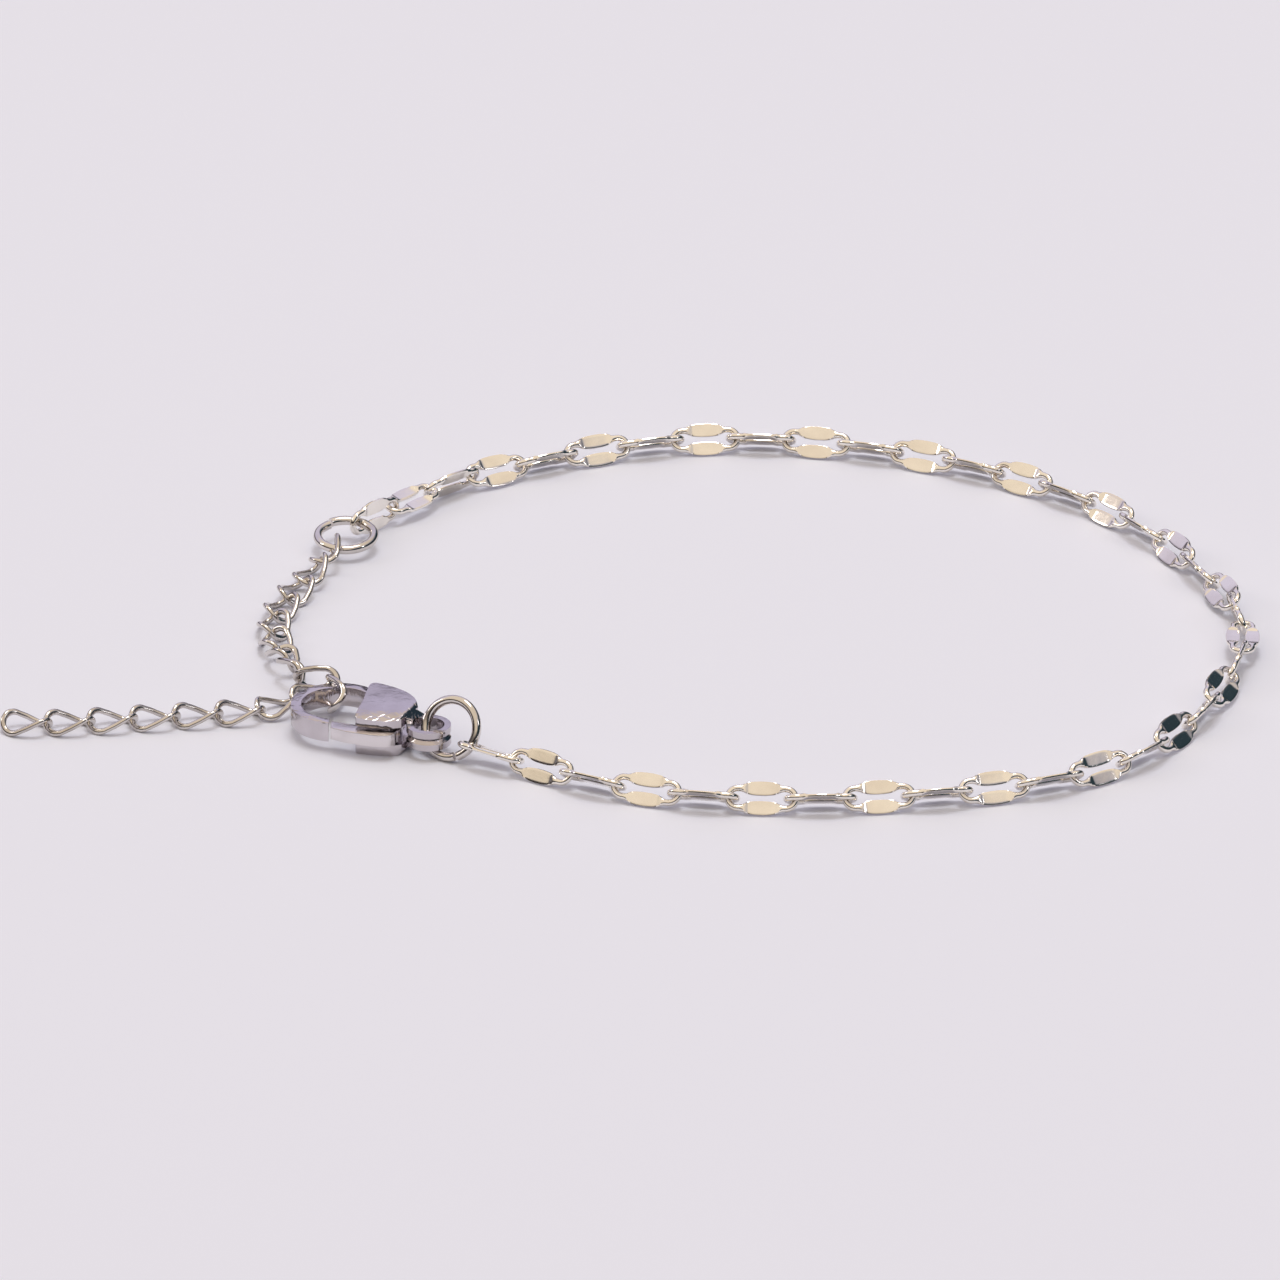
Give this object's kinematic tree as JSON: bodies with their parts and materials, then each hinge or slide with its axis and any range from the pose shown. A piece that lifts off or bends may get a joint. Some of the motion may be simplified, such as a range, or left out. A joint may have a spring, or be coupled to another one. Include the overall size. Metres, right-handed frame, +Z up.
{
  "type": "mariner chain bracelet",
  "caption": "Fine steel bracelet of pressed mariner links, closed by a lobster clasp hooked into a twisted cable extender, with a jump ring at each end of the chain.",
  "frame": {"origin": "middle of the footprint, on the table", "axes": "+Z up from the table; the free end of the extender points to -X and the clasp lies in the front left, so the chain's closed loop bulges to +X; -Y is the side that the picture looks from"},
  "size_m": [0.0812, 0.0574, 0.0038],
  "materials": {
    "link_steel": "mirror polished",
    "extender_steel": "polished",
    "ring_steel": "polished",
    "clasp_steel": "polished, slightly soft from tumbling",
    "lever_steel": "polished, slightly soft from tumbling"
  },
  "bodies": {
    "bracelet": {"mariner_link_01": "link_steel", "mariner_link_02": "link_steel", "mariner_link_03": "link_steel", "mariner_link_04": "link_steel", "mariner_link_05": "link_steel", "mariner_link_06": "link_steel", "mariner_link_07": "link_steel", "mariner_link_08": "link_steel", "mariner_link_09": "link_steel", "mariner_link_10": "link_steel", "mariner_link_11": "link_steel", "mariner_link_12": "link_steel", "mariner_link_13": "link_steel", "mariner_link_14": "link_steel", "mariner_link_15": "link_steel", "mariner_link_16": "link_steel", "mariner_link_17": "link_steel", "mariner_link_18": "link_steel", "mariner_link_19": "link_steel", "mariner_link_20": "link_steel", "mariner_link_21": "link_steel", "mariner_link_22": "link_steel", "mariner_link_23": "link_steel", "mariner_link_24": "link_steel", "mariner_link_25": "link_steel", "mariner_link_26": "link_steel", "mariner_link_27": "link_steel", "mariner_link_28": "link_steel", "mariner_link_29": "link_steel", "mariner_link_30": "link_steel", "mariner_link_31": "link_steel", "mariner_link_32": "link_steel", "mariner_link_33": "link_steel", "mariner_link_34": "link_steel", "mariner_link_35": "link_steel", "mariner_link_36": "link_steel", "mariner_link_37": "link_steel", "mariner_link_38": "link_steel", "mariner_link_39": "link_steel", "clasp_body": "clasp_steel", "jump_ring_clasp": "ring_steel", "jump_ring_extender": "ring_steel", "extender_chain": "extender_steel"},
    "lever": {"clasp_lever": "lever_steel"}
  },
  "joints": [
    {"name": "lever_hinge", "type": "hinge", "parent": "bracelet", "child": "lever", "pos_m": [-0.01573, -0.01868, 0.00136], "axis": [0, 0, -1], "range_deg": [0, 22], "stiffness_Nm_per_rad": 0.002}
  ]
}
